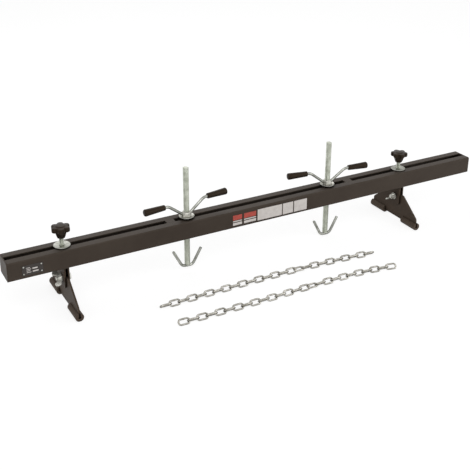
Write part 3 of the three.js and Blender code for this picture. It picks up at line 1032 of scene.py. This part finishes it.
@dataclass
class ClampSupport(SideAssembly):
    """One clamp on the bar with its star knob, bracket, pivot and foot."""

    knob_radius: float = 0.0255
    lobe_height: float = 0.0125
    lobes: int = 6
    lobe_radius: float = 0.0082
    valley: float = 0.0192
    valley_blend: float = 0.0008
    valley_swell: float = 0.2
    hub_height: float = 0.019
    hub_top: float = 0.0152
    hub_bottom: float = 0.0102
    stud: Thread = Thread(0.006, 0.00085, 0.00175)
    knob_turn: dict[Side, float] = field(default_factory=lambda: {Side.LEFT: 15.0, Side.RIGHT: 19.0})

    def build(self) -> None:
        """Dresses this side's nodes and adds its fine pieces."""
        self.add_threaded("threaded_stud", self.stud, "support", "clamp_stud")
        self.add_knob()
        self.add_washer()
        # The hardware takes the brighter zinc copy with painted light
        paint, zinc, rubber = self.finishes.foot_paint, self.finishes.lit_nut_zinc, self.finishes.rubber
        for part, finish, width in (
            ("bracket", paint, 0.0006), ("guide_block", paint, 0.0005), ("foot_plate", paint, 0.0007),
            ("knob_insert", zinc, 0.0002), ("pivot_bolt", zinc, 0.0004), ("head_washer", zinc, 0.0003),
            ("nut_washer", zinc, 0.0003), ("wing_nut", zinc, 0.0006),
            ("front_sleeve", rubber, 0.0005), ("rear_sleeve", rubber, 0.0005),
        ):
            self.ease(self.node(part), finish, width)

    def star_radius(self, angle: float) -> float:
        """The distance of the star's outline from its axis.

        Args:
            angle: The direction.

        Returns:
            The distance in metres.
        """
        step = FULL_TURN / self.lobes
        off = (angle + step / 2) % step - step / 2
        centre = self.knob_radius - self.lobe_radius
        rest = self.lobe_radius ** 2 - (centre * math.sin(off)) ** 2
        lobe = centre * math.cos(off) + math.sqrt(rest) if rest > 0 else 0.0
        if lobe > self.valley:
            return lobe
        return self.valley + min(self.valley - lobe, self.valley_blend) * self.valley_swell

    def add_knob(self) -> None:
        """Adds the star knob with rounded lobes over a ribbed, tapered hub."""
        top = self.hub_height + self.lobe_height

        def hub(height: float, depth: float) -> Ring:
            share = math.sin(height / self.hub_height * math.pi / 2)
            radius = self.hub_bottom + (self.hub_top - self.hub_bottom) * share
            return lambda angle: (radius - depth * ((1 - math.cos(self.lobes * angle)) / 2) ** 1.5, height)

        def star(share: float, height: float) -> Ring:
            return lambda angle: (self.star_radius(angle) * share, height)

        def cap(share: float, height: float) -> Ring:
            return lambda angle: (self.knob_radius * share, height)

        flutes = (
            (0.0, 0.0008), (0.0008, 0.0011), (0.004, 0.0014), (0.008, 0.0016), (0.012, 0.0017),
            (0.0175, 0.0017),
        )
        lower_edge = ((0.78, -0.0004), (0.93, 0.0002), (0.985, 0.0012), (1.0, 0.003))
        upper_edge = ((1.0, -0.0038), (0.985, -0.0018), (0.95, -0.0006), (0.89, -0.0001))
        crown = ((0.6, 0.0002), (0.5, 0.0006), (0.46, 0.0016), (0.3, 0.0019), (0.1, 0.002))
        rings = [hub(height, depth) for height, depth in flutes]
        rings += [star(share, self.hub_height + rise) for share, rise in lower_edge]
        rings += [star(share, top + rise) for share, rise in upper_edge]
        rings += [cap(share, top + rise) for share, rise in crown]
        knob = lofted(self.node("fine_star_knob"), 144, rings, 50)
        placed(knob, stood(self.seat("star_knob"), math.radians(self.knob_turn[self.side])))
        fit(knob, self.finishes.plastic, self.node("knob"), "black_plastic", self.node("star_knob"))

    def add_washer(self) -> None:
        """Adds the broad washer on the bar, with its rim bent up."""
        low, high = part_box(self.node("clamp_washer"))
        outer = (high.x - low.x) / 2
        bore, flat, rise, plate, chamfer = 0.0064, 0.011, 0.001, 0.0025, 0.0003
        washer = turned(self.node("fine_clamp_washer"), (
            (bore, chamfer), (bore + chamfer, 0), (flat, 0), (outer - 0.0006, rise), (outer, rise + 0.0006),
            (outer, rise + plate - 0.0007), (outer - 0.0008, rise + plate), (flat, plate),
            (bore + chamfer, plate), (bore, plate - chamfer),
        ), 72)
        placed(washer, self.seat("clamp_washer"))
        fit(washer, self.finishes.zinc, self.node("support"), "zinc", self.node("clamp_washer"))


@dataclass
class ScrewHook(SideAssembly):
    """One screw hook: threaded rod, prong bar, nut with two handles, and a dished washer."""

    screw: Thread = Thread(0.008, 0.00095, 0.002)
    prong_radius: float = 0.004
    prong_flat: float = 0.015
    prong_reach: float = 0.0405
    prong_rise: float = 0.049
    prong_chamfer: float = 0.0007
    bend_setback: float = 0.009
    handle_radius: float = 0.004
    handle_start: Pair = (0.0105, 0.0077)
    handle_corner: Pair = (0.057, 0.0435)
    handle_end: float = 0.1215
    grip_start: float = 0.068
    grip_length: float = 0.063
    grip_depth: float = 0.009
    grip_inner: float = 0.0078
    grip_outer: float = 0.0098
    nut_width: float = 0.024
    nut_height: float = 0.0135
    boss_radius: float = 0.0104

    def axis(self, height: float = 0.0) -> Vector:
        """The point of the rod's axis at a height over the floor."""
        return Vector((*self.seat("hook_rod").xy, height))

    def build(self) -> None:
        """Adds this side's fine pieces, which stand for all of its nodes."""
        self.add_threaded("threaded_rod", self.screw, "hook", "hook_rod")
        self.add_prongs()
        self.add_dish()
        self.add_nut()
        for hand in Side:
            self.add_handle(hand)

    def prong_turn(self) -> float:
        """How far the prong bar is turned about the rod, in radians."""
        low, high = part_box(self.node("prong_bar"))
        half = (high.y - low.y) / 2 - self.prong_radius
        turn = math.asin(min(half / self.prong_reach, 1))
        corners = self.frame["nodes"][self.node("prong_bar")].data.vertices
        right = max((corner.co for corner in corners), key=lambda co: co.x)
        return math.copysign(turn, right.y - self.axis().y)

    def add_prongs(self) -> None:
        """Adds the bent bar across the rod's lower end."""
        run, rise = self.prong_reach - self.prong_flat, self.prong_rise
        slope = math.atan2(rise, run)
        leg = math.hypot(run, rise) - self.bend_setback
        rod = BentRod(self.node("fine_prong_bar"), self.prong_radius, (-self.prong_reach, rise), -slope)
        rod.straight(leg).bend(slope, self.bend_setback)
        rod.straight(2 * (self.prong_flat - self.bend_setback)).bend(slope, self.bend_setback)
        bar = rod.straight(leg).done(self.prong_chamfer)
        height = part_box(self.node("prong_bar"))[0].z + self.prong_radius
        placed(bar, stood(self.axis(height), self.prong_turn()))
        fit(bar, self.finishes.handle_zinc, self.node("hook"), "zinc", self.node("prong_bar"))

    def add_dish(self) -> None:
        """Adds the dished washer under the nut."""
        bore, flat, outer, rise, plate, chamfer = 0.0084, 0.01465, 0.0215, 0.0045, 0.0025, 0.0003
        dish = turned(self.node("fine_dish"), (
            (bore, chamfer), (bore + chamfer, 0), (flat, 0), (flat + 0.0022, 0.0008),
            (outer - 0.0006, rise - 0.0004), (outer, rise), (outer, rise + 0.0009),
            (outer - 0.0004, rise + 0.00125), (outer - 0.0012, rise + 0.0011),
            (flat + 0.0014, plate + 0.0004), (flat, plate), (bore + chamfer, plate), (bore, plate - chamfer),
        ), 72)
        placed(dish, self.axis(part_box(self.node("hook_washer"))[0].z))
        fit(dish, self.finishes.lit_nut_zinc, self.node("hook_carriage"), "zinc", self.node("hook_washer"))

    def add_nut(self) -> None:
        """Adds the hexagon nut with its chamfers and its low collar."""
        half = self.nut_width / 2
        sixth = FULL_TURN / 6
        corner = half / math.cos(sixth / 2)
        bore = self.screw.radius + 0.0003
        inside = half - 0.0002

        def ring(reach: float, height: float, drop: float = 0.0) -> Ring:
            def at(angle: float) -> Pair:
                off = (angle + sixth / 2) % sixth - sixth / 2
                radius = min(half / math.cos(off), reach)
                return radius, height - drop * max((radius - half) / (corner - half), 0.0)

            return at

        top = self.nut_height
        rings = [
            ring(inside, 0.0), ring(corner, 0.0006, -0.0008), ring(corner, top - 0.0006, 0.0012),
            ring(inside, top), ring(self.boss_radius, top + 0.0002),
            ring(self.boss_radius - 0.0002, top + 0.0016), ring(bore + 0.0006, top + 0.0022),
            ring(bore, top + 0.002),
        ]
        nut = lofted(self.node("fine_nut"), 96, rings, 28)
        faces = self.frame["nodes"][self.node("hook_nut")].data.vertices
        farthest = max((v.co - self.axis() for v in faces), key=lambda way: way.xy.length)
        turn = math.atan2(farthest.y, farthest.x) - sixth / 2
        placed(nut, stood(self.axis(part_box(self.node("hook_nut"))[0].z), turn))
        fit(nut, self.finishes.lit_nut_zinc, self.node("hook_turner"), "zinc", self.node("hook_nut"))

    def add_handle(self, hand: Side) -> None:
        """Adds one bent handle and its grip.

        Args:
            hand: Which of the two.
        """
        left, right = (self.seat(f"hook_{end.value}_grip") for end in Side)
        across = right - left if hand is Side.RIGHT else left - right
        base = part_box(self.node("hook_nut"))[0].z
        where = stood(self.axis(base), math.atan2(across.y, across.x))
        turner = self.node("hook_turner")

        start, corner = self.handle_start, self.handle_corner
        run, rise = corner[0] - start[0], corner[1] - start[1]
        slope = math.atan2(rise, run)
        rod = BentRod(self.node(f"fine_{hand.value}_handle"), self.handle_radius, start, slope)
        rod.straight(math.hypot(run, rise) - self.bend_setback).bend(-slope, self.bend_setback)
        handle = placed(rod.straight(self.handle_end - corner[0] - self.bend_setback).done(), where)
        fit(handle, self.finishes.handle_zinc, turner, "zinc", self.node(f"hook_{hand.value}_handle"))

        length, inner, outer = self.grip_length, self.grip_inner, self.grip_outer
        bore = self.handle_radius + 0.0002
        outline = [(bore, 0), (inner - 0.001, 0), (inner - 0.0003, 0.0003), (inner, 0.001)]
        swelling = (0.2, 0.4, 0.6, 0.8, 1.0)
        outline += [(inner + (outer - inner) * part ** 1.15, length * part * 0.93) for part in swelling]
        outline += [
            (outer - 0.0003, length * 0.962), (outer - 0.0014, length * 0.983),
            (outer - 0.0034, length * 0.996), (outer - 0.0055, length), (0.0022, length),
            (0.0018, length - 0.0006), (0, length - 0.0006), (0, length - self.grip_depth),
            (bore, length - self.grip_depth),
        ]
        grip = turned(self.node(f"fine_{hand.value}_grip"), outline, 48)
        lay = Matrix.Translation((self.grip_start, 0, corner[1])) @ Matrix.Rotation(math.pi / 2, 4, "Y")
        placed(grip, where @ lay)
        fit(grip, self.finishes.plastic, turner, "black_plastic", self.node(f"hook_{hand.value}_grip"))


@dataclass
class Chain(Assembly):
    """One loose chain of welded oval links on the floor."""

    name: str
    start: Pair
    headings: tuple[float, float, float, float]
    first_lean: float
    twist_place: int
    twist_lean: float = 5.0
    links: int = 26
    wire: float = 0.0024
    ring: float = 0.0071
    pitch: float = 0.0255
    inner_length: float = 0.0252
    ring_steps: int = 20
    weld_reach: float = 0.004
    weld_swell: float = 0.13

    def heading(self, share: float) -> float:
        """The chain's direction on the floor.

        Args:
            share: How far along the chain, from 0 to 1.

        Returns:
            The angle in radians.
        """
        parts = (math.comb(3, k) * (1 - share) ** (3 - k) * share ** k for k in range(4))
        return math.radians(sum(part * way for part, way in zip(parts, self.headings)))

    def lean(self, place: int) -> float:
        """How far a link leans about the chain's line, to one side and the other by turns but for one twist.

        Args:
            place: The link's place, from 0.

        Returns:
            The angle in radians.
        """
        if place == self.twist_place:
            return math.radians(self.twist_lean)
        turns = place + (place > self.twist_place)
        return math.radians(self.first_lean * (-1) ** turns)

    def link(self) -> Piece:
        """Models one link, lying flat, with the small swelling of its weld."""
        choose()
        bpy.ops.mesh.primitive_torus_add(
            major_segments=self.ring_steps, minor_segments=10, major_radius=self.ring, minor_radius=self.wire,
        )
        link = named("link")
        shape = edit(link)
        half_step = math.pi / self.ring_steps
        bpy.ops.transform.rotate(value=half_step, orient_axis="Z", center_override=(0, 0, 0))
        stretch = self.inner_length / 2 + self.wire - self.ring
        for way in (-1, 1):
            bpy.ops.mesh.select_all(action="DESELECT")
            for vertex in shape.verts:
                vertex.select_set(vertex.co.x * way > 0)
            shape.select_flush_mode()
            bpy.ops.transform.translate(value=(way * stretch, 0, 0))

        def crosses_middle(edge: bmesh.types.BMEdge) -> bool:
            first, second = (vertex.co for vertex in edge.verts)
            return first.y > 0 and first.x * second.x < 0

        pick_edges(shape, crosses_middle)
        bpy.ops.mesh.subdivide(number_cuts=4)
        for vertex in shape.verts:
            if vertex.co.y > 0 and abs(vertex.co.x) < self.weld_reach:
                swell = 1 + self.weld_swell * math.cos(vertex.co.x / self.weld_reach * math.pi / 2)
                centre = Vector((vertex.co.x, self.ring, 0))
                vertex.co = centre + (vertex.co - centre) * swell
        return close(link, 60)

    def build(self) -> None:
        """Lays the links along the chain's line and joins them."""
        master = self.link()
        spot = Vector((*self.start, self.ring * math.sin(math.radians(45)) + self.wire))
        places = []
        for place in range(self.links):
            angle = self.heading(place / (self.links - 1))
            places.append(stood(spot, angle) @ Matrix.Rotation(self.lean(place), 4, "X"))
            spot = spot + Vector((math.cos(angle), math.sin(angle), 0)) * self.pitch
        chain = repeated(f"{self.name}_links", master, places)
        fit(chain, self.finishes.link_zinc, f"{self.name}_body", "zinc", self.name)


@dataclass
class Studio:
    """The floor, the light and the camera."""

    bar: Bar
    floor_size: float = 30.0
    bounce_shade: float = 0.8
    seen_shade: float = 0.3
    seen_glow: float = 0.82
    sky_strength: float = 0.42
    lit_height: float = 0.1
    place: tuple[float, float, float] = (-0.4054, -1.8868, 1.0756)
    azimuth: float = 28.936
    elevation: float = 22.230
    roll: float = -0.311
    focal_pixels: float = 859.0
    frame_pixels: int = 470
    axis_row: float = 164.0

    def build(self) -> None:
        """Sets up everything round the object."""
        self.add_floor()
        self.add_world()
        self.add_lamps()
        self.add_camera()

    def add_floor(self) -> None:
        """Adds a pale floor that is white to the camera and keeps the object's shadow."""
        choose()
        bpy.ops.mesh.primitive_plane_add(size=self.floor_size, location=(0, 0, 0))
        floor = named("floor")
        s = Shading("pale_floor")
        seen = s.seen()
        dress(floor, s.finished({
            "Roughness": 0.9,
            "Specular IOR Level": 0.1,
            "Base Color": s.blend(seen, (self.bounce_shade,) * 3, (self.seen_shade,) * 3),
            "Emission Strength": s.level(seen, 0.0, self.seen_glow, start=0.0, end=1.0),
        }))

    def add_world(self) -> None:
        """Gives soft light from all round, white where it is seen."""
        world = bpy.data.worlds.new("soft_studio")
        bpy.context.scene.world = world
        world.use_nodes = True
        nodes = NodeTree(world.node_tree)
        back = nodes.tree.nodes["Background"].inputs
        nodes.feed(back["Color"], (1.0, 1.0, 1.0))
        nodes.feed(back["Strength"], nodes.level(nodes.seen(), self.sky_strength, 1.0, start=0.0, end=1.0))

    def add_lamps(self) -> None:
        """Adds a broad main lamp, a fill and a lamp behind."""
        for name, power, size, *place in (
            ("main_lamp", 34.0, 2.4, -1.2, -2.2, 2.6),
            ("fill_lamp", 22.0, 2.0, 2.2, -2.4, 1.4),
            ("back_lamp", 12.0, 2.0, 0.6, 2.2, 2.4),
        ):
            spot = Vector(place)
            choose()
            bpy.ops.object.light_add(type="AREA", location=spot)
            lamp = named(name)
            lamp.data.energy = power
            lamp.data.size = size
            lamp.rotation_euler = (Vector((0, 0, self.lit_height)) - spot).to_track_quat("-Z", "Y").to_euler()

    def add_camera(self) -> None:
        """Adds the camera at the photograph's place and angle."""
        choose()
        bpy.ops.object.camera_add()
        camera = named("camera")
        heading = stood(self.bar.low + Vector(self.place), math.radians(-self.azimuth))
        tilt = Matrix.Rotation(math.radians(90 - self.elevation), 4, "X")
        camera.matrix_world = heading @ tilt @ Matrix.Rotation(math.radians(-self.roll), 4, "Z")
        lens = camera.data
        lens.lens = self.focal_pixels / self.frame_pixels * lens.sensor_width
        lens.shift_y = (self.axis_row - self.frame_pixels / 2) / self.frame_pixels
        scene = bpy.context.scene
        scene.camera = camera
        scene.view_settings.view_transform = "Standard"


def main() -> None:
    """Builds the object's looks and everything round it."""
    logging.basicConfig(level=logging.INFO, format="%(name)s: %(message)s")
    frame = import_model()
    finishes = Finishes()
    bar = Bar(frame, finishes)
    Studio(bar).build()
    bar.build()
    for side in Side:
        ClampSupport(frame, finishes, side).build()
        ScrewHook(frame, finishes, side).build()
    Chain(
        frame, finishes, "rear_chain", start=(-0.380, bar.middle_y - 0.1506),
        headings=(-0.2, 2.2, -2.5, -7.2), first_lean=-45.0, twist_place=16,
    ).build()
    Chain(
        frame, finishes, "front_chain", start=(-0.372, bar.middle_y - 0.2429),
        headings=(-1.9, -2.5, 8.9, -12.8), first_lean=45.0, twist_place=15,
    ).build()
    choose()


if __name__ == "__main__":
    main()
